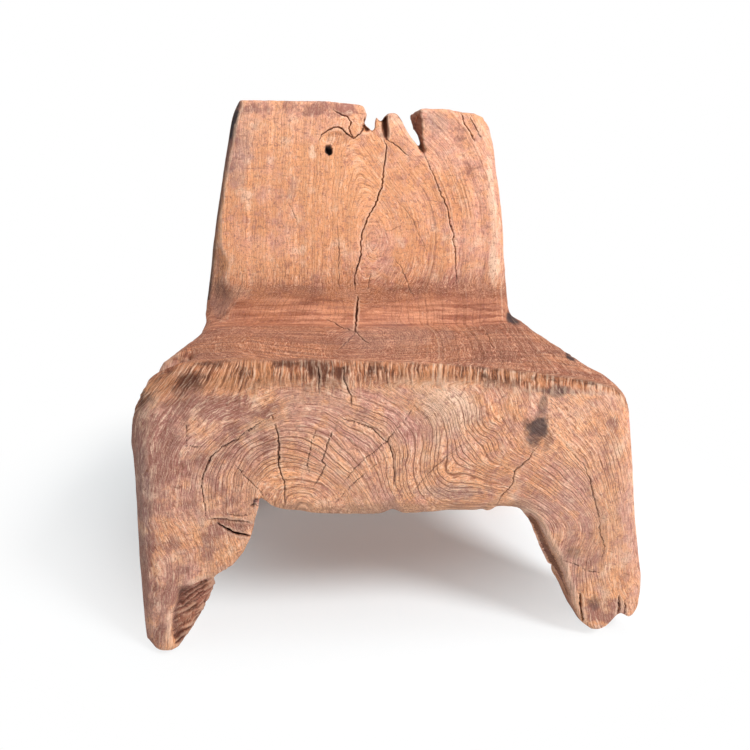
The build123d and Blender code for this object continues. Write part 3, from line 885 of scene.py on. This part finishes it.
backPatches = {  # the same, kept to the back
    # warm tint and painted light on the back: a brighter amber middle, partly painted light
    "warmTintAndLight": (
        (345, 195, 75, 75, 0, 26, 1), (270, 270, 60, 25, 0, 22, 1), (270, 135, 40, 18, 0, 18, 0.8),
    ),
    # painted shade: the dark strip at the back's top left corner, partly burnt wood
    "stainAndShade": ((233, 122, 5, 34, 0.2, 59, 1),),
    "ash": (
        (243, 150, 12, 46, 0.15, 71, 0.6), (293, 188, 6, 15, 0.3, 72, 0.6),
        (437, 124, 15, 12, 0.6, 73, 0.75), (291, 230, 6, 9, 0, 74, 0.3),
    ),
    # pale patches: painted highlight along the back's right edge, where the light falls, with edge wear
    "pale": (
        (492, 200, 4, 46, -0.06, 81, 0.55), (493, 265, 5, 22, 0, 82, 0.9), (312, 153, 4, 7, 0, 86, 0.7),
    ),
    # painted shade in the recessed valley between the spur and the tongue
    "wall": ((385, 124, 4, 17, 0.1, 57, 1),),
}


def blot(u, v, across, down, wide, high, turn, seed):  # soft patch with a ragged edge
    flat = np.stack([u, v, u * 0], 1)
    du, dv = u - across, v - down
    side = (du * cos(turn) + dv * sin(turn)) / wide
    rise = (dv * cos(turn) - du * sin(turn)) / high
    off = np.hypot(side, rise) + 0.35 * rough(flat, min(wide, high) * 0.7 + 2, seed)
    off += 0.2 * rough(flat, 3, seed + 1)
    return 1 - ramp(off, 0.5, 1.2)


def patched(name, u, v, back):  # the strongest of its patches at each point
    most = np.zeros(len(u))
    for where, kept in ((1, patches), (back, backPatches)):
        for *shape, strength in kept.get(name, ()):
            most = np.maximum(most, blot(u, v, *shape) * where * strength)
    return most


lip = {"left": (262, 290), "right": (515, 540), "high": (5, 12), "ragged": 3}  # torn lip of the arch
edgeShade = {"share": 0.75, "wide": (1, 5), "foot": 300}  # painted shade: the dark left edge of the back, which the light misses
hollowLook = {"near": 1500, "wide": 600}  # painted shade: how much a hollow darkens, per metre of its depth
backRay = {"from": 232, "step": 0.45}  # on the back the fibres are counted downwards

edges = readEdges(logMesh)
everywhere = np.ones(len(points))
soft = relax(points, edges, 4, everywhere)
softer = relax(soft, edges, 14, everywhere)
normals = readNormals(logMesh)
nearCrack = relax(np.repeat(crackDark[:, None], 3, 1), edges, 8, everywhere)[:, 0]
hollowShadeRidgeLight = np.sum((soft - points) * normals, axis=1) * hollowLook["near"]
hollowWide = np.sum((softer - points) * normals, axis=1) * hollowLook["wide"]
back = (y > 0.1) & (z > 0.375)
onBack = backShare(points)
onFace = (y < front + 0.03) & (normals[:, 1] < -0.3)
t = y - front
(a, b, _), (d, e, f) = heart["across"], heart["up"]
heartAngle = np.degrees(np.arctan2(x - a - b * t, z - d - e * t - f * t * t))
coveTop = z + 0.012 * roughLayers(points, 0.05, 92) + 0.02 * np.exp(-((x + 0.01) / 0.05) ** 2)
overLip = lineAt(outlines["archEdge"], u) - v + lip["ragged"] * rough(points, 0.012, 96)
inNotch = (z > 0.63) & (y > 0.15) & (x > 0.02) & (x < 0.12)
fromEdge = u - lineAt(outlines["backLeft"], v, 1)
# painted shade along the back's left edge
shadedEdge = edgeShade["share"] * (1 - ramp(fromEdge, *edgeShade["wide"])) * back * (v < edgeShade["foot"])
paint = {
    "ring": rings,
    "ray": heartAngle * (1 - onBack) + (v - backRay["from"]) * backRay["step"] * onBack,
    "stroke": strokeAcross(points),
    "torn": onTorn,
    "crack": crackDark,
    # painted shade in hollows and lighter ridges: how sunk or raised each point is, held back near the cracks
    "hollowShadeRidgeLight": np.clip((hollowShadeRidgeLight + hollowWide) * (1 - np.clip(nearCrack * 4, 0, 1)), -1, 1) * 0.5 + 0.5,
    "strand": np.clip(strand * 0.5 + 0.5, 0, 1),
    "groove": np.clip(grooves, -1, 1),
    "shade": np.clip(onTorn * (0.45 + 0.55 * ramp(share, 0.1, 0.7)), 0, 1),
    "cove": ramp(y, *zones["coveIn"]) * ramp(z, *zones["coveUp"]) * (1 - ramp(coveTop, *zones["backUp"])),
    # painted shade: the left leg's scoop, under the overhang of the haunch and away from the light
    "scoopShade": inScoop * facingView,
    # painted shade: the V's wall that faces left, away from the light, and the valley
    "wall": np.clip(ramp(-normals[:, 0], 0.15, 0.6) * inNotch + patched("wall", u, v, back), 0, 1),
    "arch": facingView * (z > 0.15) * (y < front + 0.06) * ramp(u, *lip["left"])
    * (1 - ramp(u, *lip["right"])) * (1 - ramp(overLip, *lip["high"])),
    "clear": np.clip(0.35 + facingView * onFace
                     * np.maximum(patched("clear", u, v, back), 0.12 * back), 0, 1),
    "back": ramp(z, *zones["backHigh"]) * ramp(y, *zones["backIn"]),
    "seat": ramp(z, *zones["seatUp"]) * (1 - ramp(z, *zones["seatOver"]))
    * ramp(y - front, *zones["seatIn"]) * np.clip(ramp(normals[:, 2], 0.1, 0.5) + ramp(y, 0.1, 0.14), 0, 1),
    # real stains, together with the painted shade of the back's left edge
    "stainAndShade": facingView * np.maximum(patched("stainAndShade", u, v, back), shadedEdge),
}
for name in ("grimeAndShade", "warmTintAndLight", "rose", "ash", "pale"):
    paint[name] = facingView * patched(name, u, v, back)
for name, values in paint.items():
    layer = logMesh.attributes.new(name, "FLOAT", "POINT")
    layer.data.foreach_set("value", values.astype(np.float32))
print("paint kept")

# the wood: every colour comes from what the carving kept with its points
wood = {
    "tan": (0.77, 0.385, 0.235, 1),
    "rose": (0.64, 0.30, 0.23, 1),
    "plum": (0.34, 0.135, 0.105, 1),
    "amber": (0.87, 0.40, 0.19, 1),
    "salmon": (0.92, 0.44, 0.27, 1),
    "mauve": (0.56, 0.25, 0.21, 1),
    "orange": (0.76, 0.32, 0.14, 1),
    "brown": (0.20, 0.066, 0.034, 1),
    "umber": (0.11, 0.032, 0.016, 1),
    "cream": (0.97, 0.67, 0.48, 1),
    "black": (0.044, 0.028, 0.030, 1),
    "ash": (0.36, 0.25, 0.23, 1),
    "seatTint": (0.84, 0.66, 0.58, 1),
    "seat": (0.48, 0.165, 0.085, 1),
    "seatDark": (0.25, 0.080, 0.044, 1),
    "rust": (0.42, 0.135, 0.055, 1),
    "ashBrown": (0.30, 0.16, 0.10, 1),
}


grains = {  # noise through the wood: scale, detail and roughness
    "waver": (16, 2, 0.5),
    "shiver": (70, 2, 0.5),
    "patch": (11, 2, 0.5),
    "patchy": (8.0, 3, 0.6),
    "blotch": (30.0, 4, 0.65),
    "tint": (55.0, 3, 0.6),
    "tuft": (26.0, 3, 0.6),
    "pores": (150.0, 3, 0.7),
    "speck": (420.0, 3, 0.75),
}
streaks = {  # noise drawn out along the grain: what it follows and how fine, detail and roughness
    "crowd": ((("ring", 0.035),), 1, 0.5),
    "wide": ((("bent", 0.05), ("x", 3), ("z", 4)), 2, 0.5),
    "dash": ((("bent", 0.8), ("ray", 0.28), ("z", 1)), 4, 0.7),
    "thread": ((("bent", 1.5), ("ray", 0.5), ("z", 1)), 3, 0.7),
    "checks": ((("ray", 1.1), ("ring", 0.05), ("z", 1)), 3, 0.7),
    "level": ((("x", 7), ("y", 170), ("z", 1)), 4, 0.65),
    "arcs": ((("x", 9), ("y", 90), ("z", 110)), 4, 0.7, 0.5),
    "hair": ((("stroke", 0.42), ("z", 38)), 4, 0.75),
}
ringLines = {  # spacing, width, and how the patches let them through
    "late": (6.4, 0.17, 0.35, 0.6, 0.2, 1),
    "early": (2.9, 0.26, 0.65, 0.4, 0.1, 0.9),
}
ringWaver = {"waver": 9.0, "crowd": 30.0, "shiver": 2.2}  # how far each noise bends the rings
broken = {  # marks that another noise breaks up: which, from where to where, and what is left there
    "pale": ("dash", 0.3, 0.55, 0.35, 1),
    "ash": ("dash", 0.35, 0.6, 1, 0.45),
    "arch": ("dash", 0.35, 0.6, 0.95, 0.35),
    "stainAndShade": ("blotch", 0.3, 0.55, 0.7, 1),
}
coats = {  # one over the other: what drives a coat, where that eases in if it does, its share and colour
    "plain": (
        ("wide", 0.35, 0.65, 1, "tan"),
        ("back", 0.6, "salmon"),
        ("rose", 0.65, "rose"),
        ("patchy", 0.46, 0.60, 0.8, "orange"),
        ("tint", 0.50, 0.64, 0.6, "amber"),
        ("tint", 0.48, 0.36, 0.5, "mauve"),
        # painted light and warm tint: amber over the bright patches
        ("warmTintAndLight", 0.6, "amber"),
        # dirt and painted shade: plum over the blotches and the grime patches, whose left-side share is
        # painted shade
        ("dirtAndShade", 0.53, 0.73, 0.9, "plum"),
        ("blotch", 0.54, 0.72, 0.55, "cream"),
    ),
    "seat": (
        ("dash", 0.38, 0.58, 1, "seat"),
        ("patchy", 0.42, 0.62, 0.6, "orange"),
        ("level", 0.50, 0.40, 0.85, "seatDark"),
        ("level", 0.52, 0.62, 0.65, "tan"),
    ),
    "cove": (("arcs", 0.38, 0.60, 1, "tan"),),
    "grain": (
        # cream for the pale patches: partly wear, partly painted highlight
        ("pale", 1, "cream"),
        ("ash", 1, "ash"),
        ("dash", 0.52, 0.64, 0.6, "cream"),
        ("dash", 0.46, 0.32, 0.8, "brown"),
        ("thread", 0.53, 0.70, 0.55, "cream"),
        ("thread", 0.47, 0.32, 0.85, "brown"),
        ("checks", 0.42, 0.28, 0.5, "brown"),
        ("early", 0.45, "brown"),
        ("late", 0.8, "brown"),
        ("speck", 0.45, 0.30, 0.65, "brown"),
        ("speck", 0.55, 0.74, 0.35, "cream"),
        ("pores", 0.46, 0.32, 0.65, "plum"),
    ),
    "edges": (
        ("arch", 1, "ashBrown"),
        # painted shade: darker brown in the left leg's scoop
        ("scoopShade", 0.62, "seatDark"),
        # painted shade: umber on the V's wall and the valley
        ("wall", 0.7, "umber"),
    ),
    "torn": (
        ("strand", 0.30, 0.66, 1, "rust"),
        ("patchy", 0.42, 0.6, 0.6, "orange"),
        ("hair", 0.49, 0.42, 0.9, "umber"),
        ("hair", 0.51, 0.57, 0.9, "tan"),
        ("hair", 0.57, 0.64, 0.85, "cream"),
        ("strand", 0.78, 0.98, 0.5, "cream"),
        ("tuft", 0.50, 0.66, 0.5, "orange"),
        ("tuft", 0.51, 0.38, 0.85, "umber"),
    ),
    "marks": (
        # painted shade: umber in the furrows of the scoop's grooves
        ("groove", -0.1, -0.8, 0.6, "umber"),
        # black for the real stains and for the painted shade of the back's left edge
        ("stainAndShade", 1, "black"),
        # painted shade: umber in the hollows; cream on the ridges, partly wear and partly painted highlight
        ("hollowShadeRidgeLight", 0.56, 0.95, 0.75, "umber"),
        ("hollowShadeRidgeLight", 0.40, 0.1, 0.3, "cream"),
        ("crack", 1, "black"),
    ),
}
shares = {"seat": 0.9, "cove": 0.6}  # how far the seat's and the cove's own colours cover the plain wood
calm = {"cove": (0.0, 0.9, 1.0, 0.35), "back": (0, 1, 1.0, 0.72)}  # where the fibres stand out less
# how far the grime patches, partly painted shade, and the back move the dirt and shade coat
dirtAndShadeFrom = {"grimeAndShade": 0.27, "back": -0.06}
deepTint = {"cove": 0.6, "share": 0.42}
feel = {
    "rough": (0.3, 0.7, 0.82, 0.62),
    "gloss": 0.3,
    "bump": 0.8,
    "bumpDepth": 0.0034,
    "heights": {  # what stands up and what lies deep
        "speck": 0.45, "dash": 0.9, "late": -0.6, "early": -0.25, "thread": 0.6, "checks": 0.35,
        "tornHair": 3.0,
    },
}


class Shader:  # short words for making and joining nodes
    def __init__(self, material):
        self.nodes = material.node_tree.nodes
        self.links = material.node_tree.links

    def join(self, source, socket):
        if hasattr(source, "links"):
            self.links.new(source, socket)
        else:
            socket.default_value = source

    def kept(self, name):
        node = self.nodes.new("ShaderNodeAttribute")
        node.attribute_name = name
        return node.outputs["Fac"]

    def math(self, operation, *values):
        node = self.nodes.new("ShaderNodeMath")
        node.operation = operation
        for value, socket in zip(values, node.inputs):
            self.join(value, socket)
        return node.outputs[0]

    def times(self, one, other):
        return self.math("MULTIPLY", one, other)

    def add(self, value, share, base):  # that share of a value on top of the base
        return self.math("MULTIPLY_ADD", value, share, base)

    def between(self, value, low, high, start=0.0, end=1.0):  # eases from start to end
        node = self.nodes.new("ShaderNodeMapRange")
        node.interpolation_type = "SMOOTHSTEP"
        for name, given in (("Value", value), ("From Min", low), ("From Max", high),
                            ("To Min", start), ("To Max", end)):
            self.join(given, node.inputs[name])
        return node.outputs[0]

    def grain(self, where, scale, detail, rough, bent=0.0):
        node = self.nodes.new("ShaderNodeTexNoise")
        for name, given in (("Vector", where), ("Scale", scale), ("Detail", detail),
                            ("Roughness", rough), ("Distortion", bent)):
            self.join(given, node.inputs[name])
        return node.outputs["Fac"]

    def blend(self, share, one, other, way="MIX"):
        node = self.nodes.new("ShaderNodeMix")
        node.data_type = "RGBA"
        node.blend_type = way
        self.join(share, node.inputs[0])
        self.join(one, node.inputs[6])
        self.join(other, node.inputs[7])
        return node.outputs[2]


def makeWood():
    material = bpy.data.materials.new("carvedWood")
    material.use_nodes = True
    s = Shader(material)
    split = s.nodes.new("ShaderNodeSeparateXYZ")
    where = s.nodes.new("ShaderNodeTexCoord").outputs["Object"]
    s.links.new(where, split.inputs[0])
    given = {name: s.kept(name) for name in paint}
    given.update(zip("xyz", split.outputs))
    given.update((name, s.grain(where, *look)) for name, look in grains.items())

    def streak(name):
        axes, *look = streaks[name]
        node = s.nodes.new("ShaderNodeCombineXYZ")
        for index, (axis, scale) in enumerate(axes):
            s.join(s.times(given[axis], scale), node.inputs[index])
        return s.grain(node.outputs[0], 1.0, *look)

    def coated(colour, name):
        for driver, *shape, paintName in coats[name]:
            *ends, most = shape
            share = s.between(given[driver], *ends, 0, most) if ends else s.times(given[driver], most)
            colour = s.blend(share, colour, wood[paintName])
        return colour

    # ring lines: thin, dark, unevenly spaced, fading in and out
    given["crowd"] = streak("crowd")
    bent = given["ring"]
    for name, far in ringWaver.items():
        bent = s.add(given[name], far, bent)
    given["bent"] = bent
    for name, (spacing, width, *shows) in ringLines.items():
        turns = s.math("FRACT", s.times(bent, 1 / spacing))
        off = s.math("ABSOLUTE", s.math("SUBTRACT", turns, 0.5))
        line = s.times(s.between(off, 0.5 - width, 0.5), s.between(given["patch"], *shows))
        given[name] = s.times(line, given["clear"])
    # fibres, calmer in the cove and on the back
    seat, cove = given["seat"], given["cove"]
    loud = s.times(s.between(cove, *calm["cove"]), s.between(given["back"], *calm["back"]))
    for name in ("dash", "thread"):
        given[name] = s.add(s.math("SUBTRACT", streak(name), 0.5), loud, 0.5)
    for name in ("wide", "checks", "level", "arcs", "hair"):
        given[name] = streak(name)
    for name, (driver, *shape) in broken.items():
        given[name] = s.times(given[name], s.between(given[driver], *shape))
    # dirt and painted shade: the blotches' own tone, plus the grime patches with their painted shade
    given["dirtAndShade"] = s.math("SUBTRACT", 1.0, given["blotch"])
    for name, share in dirtAndShadeFrom.items():
        given["dirtAndShade"] = s.add(given[name], share, given["dirtAndShade"])
    # the plain wood, the seat and the cove, then the grain over them and the torn strands
    colour = coated(wood["rose"], "plain")
    for name, share in shares.items():
        colour = s.blend(s.times(given[name], share), colour, coated(wood["seatDark"], name))
    colour = coated(colour, "grain")
    deep = s.math("MAXIMUM", seat, s.times(cove, deepTint["cove"]))
    colour = s.blend(s.times(deep, deepTint["share"]), colour, wood["seatTint"], "MULTIPLY")
    colour = coated(colour, "edges")
    colour = s.blend(given["shade"], colour, coated(wood["seatDark"], "torn"))
    colour = coated(colour, "marks")
    shader = s.nodes["Principled BSDF"]
    s.links.new(colour, shader.inputs["Base Color"])
    s.links.new(s.between(given["dash"], *feel["rough"]), shader.inputs["Roughness"])
    shader.inputs["Specular IOR Level"].default_value = feel["gloss"]
    given["tornHair"] = s.times(given["hair"], given["torn"])
    height = 0.0
    for name, share in feel["heights"].items():
        height = s.add(given[name], share, height)
    bump = s.nodes.new("ShaderNodeBump")
    bump.inputs["Strength"].default_value = feel["bump"]
    bump.inputs["Distance"].default_value = feel["bumpDepth"]
    s.links.new(height, bump.inputs["Height"])
    s.links.new(bump.outputs["Normal"], shader.inputs["Normal"])
    return material


carvedWood = makeWood()
print("wood mixed")

# the log comes apart along its checks into the pieces of the frame
checks = {  # planes: a point on each and its direction
    "legTops": ((0, 0, 0.186), (0, 0, 1)),
    "legSides": ((-0.0185, 0, 0), (1, 0, 0)),
    "legRows": ((0, 0, 0), (0, 1, 0)),
    "wallRear": ((0, -0.133, 0), (0, 1, 0)),
    "seatRear": ((0, 0.119, 0), (0, 1, 0)),
    "heart": ((0.0185, 0, 0.6843), (1, 0, -0.15)),
    "side": ((0.0935, 0, 0.640), (1, 0, 0.2)),
    "splinter": ((0.1655, 0, 0.719), (1, 0, 0.39)),
}
layout = ("legTops",
          ("legRows",
           ("legSides", "front_left_leg", "front_right_leg"),
           ("legSides", "rear_left_leg", "rear_right_leg")),
          ("wallRear",
           "front_wall",
           ("seatRear",
            "seat",
            ("heart",
             "back_left_stave",
             ("side",
              "back_middle_stave",
              ("splinter", "back_right_stave", "back_corner_splinter"))))))


def half(shape, name, keepFar):  # one side of a check, closed with a flat face
    point, direction = checks[name]
    part = shape.copy()
    bmesh.ops.bisect_plane(
        part, geom=part.verts[:] + part.edges[:] + part.faces[:], dist=1e-6, plane_co=point,
        plane_no=direction, clear_outer=not keepFar, clear_inner=keepFar,
    )
    rim = [edge for edge in part.edges if edge.is_boundary]
    outward = Vector(direction) * (-1 if keepFar else 1)
    if rim:
        made = bmesh.ops.triangle_fill(part, edges=rim, use_beauty=False, normal=outward)
        capped = part.faces.layers.int["capped"]
        for face in made["geom"]:
            if isinstance(face, bmesh.types.BMFace):
                face[capped] = 1
                if face.normal @ outward < 0:
                    face.normal_flip()
    return part


def takeApart(shape, branch, done):
    if isinstance(branch, str):
        done[branch] = shape
        return done
    name, near, far = branch
    takeApart(half(shape, name, False), near, done)
    takeApart(half(shape, name, True), far, done)
    shape.free()
    return done


def placePiece(name, shape, material):
    mesh = bpy.data.meshes.new(name)
    shape.to_mesh(mesh)
    shape.free()
    mesh.materials.append(material)
    # the carved faces keep the log's own normals, so that no seam shows, and the cut faces stay flat
    sizes = pull(mesh.polygons, "loop_total", 1, np.int32)
    onCap = np.repeat(pull(mesh.attributes["capped"].data, "value", 1, np.int32) > 0, sizes)
    normals = pull(mesh.attributes["facing"].data, "vector", 3)
    normals = normals[pull(mesh.loops, "vertex_index", 1, np.int32)]
    normals[onCap] = np.repeat(pull(mesh.polygons, "normal", 3), sizes, axis=0)[onCap]
    normals /= np.linalg.norm(normals, axis=1)[:, None] + 1e-9
    mesh.polygons.foreach_set("use_smooth", np.ones(len(mesh.polygons), bool))
    mesh.normals_split_custom_set(normals)
    for spent in ("facing", "capped"):
        mesh.attributes.remove(mesh.attributes[spent])
    piece = bpy.data.objects.new(name + "_carved", mesh)
    bpy.context.scene.collection.objects.link(piece)
    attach(piece, "root")
    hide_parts(name)
    return piece


normals = readNormals(logMesh)
layer = logMesh.attributes.new("facing", "FLOAT_VECTOR", "POINT")
layer.data.foreach_set("vector", normals.astype(np.float32).ravel())
shape = bmesh.new()
shape.from_mesh(logMesh)
shape.faces.layers.int.new("capped")
for name, part in takeApart(shape, layout, {}).items():
    piece = placePiece(name, part, carvedWood)
    print(name, len(piece.data.vertices), "points")
bpy.data.meshes.remove(logMesh)

# floor and light
stage = {
    "floor": (0.875, 0.93, 0.955, 1),
    "floorCorners": ((-4, -3, 0), (4, -3, 0), (4, 5, 0), (-4, 5, 0)),
    "floorUnder": 0.0005,  # just below the feet
    "centre": (0.0, 0.30, 0.0),  # the floor is plain white beyond these distances from here
    "near": 0.30,
    "far": 0.80,
    "nearShare": 0.10,
    "world": 0.40,
    "aim": (0, 0, 0.35),
}
lamps = {  # where each one hangs, its power and its width
    "key": ((1.75, -2.1, 2.4), 113, 1.1),
    "fill": ((-2.3, -1.9, 1.3), 6, 2.2),
    "top": ((0.3, 0.1, 3.4), 37, 2.4),
}


def areaLight(name, place, power, size):
    lamp = bpy.data.lights.new(name, "AREA")
    lamp.energy = power
    lamp.shape = "DISK"
    lamp.size = size
    made = bpy.data.objects.new(name, lamp)
    made.location = place
    made.rotation_mode = "QUATERNION"
    made.rotation_quaternion = (Vector(stage["aim"]) - Vector(place)).to_track_quat("-Z", "Y")
    bpy.context.scene.collection.objects.link(made)


def setSky():  # plain white to the camera, soft light on the wood
    sky = bpy.data.worlds.new("sky")
    bpy.context.scene.world = sky
    sky.use_nodes = True
    nodes, links = sky.node_tree.nodes, sky.node_tree.links
    path = nodes.new("ShaderNodeLightPath")
    mix = nodes.new("ShaderNodeMix")
    mix.data_type = "FLOAT"
    mix.inputs["A"].default_value = stage["world"]
    mix.inputs["B"].default_value = 1
    links.new(path.outputs["Is Camera Ray"], mix.inputs["Factor"])
    backdrop = nodes["Background"]
    backdrop.inputs["Color"].default_value = (1, 1, 1, 1)
    links.new(mix.outputs["Result"], backdrop.inputs["Strength"])


def setFloor():
    floorMesh = bpy.data.meshes.new("floor")
    floorMesh.from_pydata(stage["floorCorners"], [], [(0, 1, 2, 3)])
    floor = bpy.data.objects.new("floor", floorMesh)
    floor.location.z = -stage["floorUnder"]
    bpy.context.scene.collection.objects.link(floor)
    pale = bpy.data.materials.new("paleFloor")
    pale.use_nodes = True
    s = Shader(pale)
    shader = s.nodes["Principled BSDF"]
    shader.inputs["Base Color"].default_value = stage["floor"]
    shader.inputs["Roughness"].default_value = 0.9
    shader.inputs["Specular IOR Level"].default_value = 0
    white = s.nodes.new("ShaderNodeEmission")
    white.inputs["Color"].default_value = (1, 1, 1, 1)
    white.inputs["Strength"].default_value = 1
    away = s.nodes.new("ShaderNodeVectorMath")
    away.operation = "DISTANCE"
    s.links.new(s.nodes.new("ShaderNodeTexCoord").outputs["Object"], away.inputs[0])
    away.inputs[1].default_value = stage["centre"]
    share = s.between(away.outputs["Value"], stage["near"], stage["far"], stage["nearShare"], 1)
    path = s.nodes.new("ShaderNodeLightPath")
    share = s.times(share, path.outputs["Is Camera Ray"])
    both = s.nodes.new("ShaderNodeMixShader")
    s.links.new(share, both.inputs[0])
    s.links.new(shader.outputs[0], both.inputs[1])
    s.links.new(white.outputs[0], both.inputs[2])
    s.links.new(both.outputs[0], s.nodes["Material Output"].inputs["Surface"])
    floorMesh.materials.append(pale)


for name, (place, power, size) in lamps.items():
    areaLight(name, place, power, size)
setSky()
setFloor()
bpy.context.scene.view_settings.view_transform = "Standard"
print("stage set")
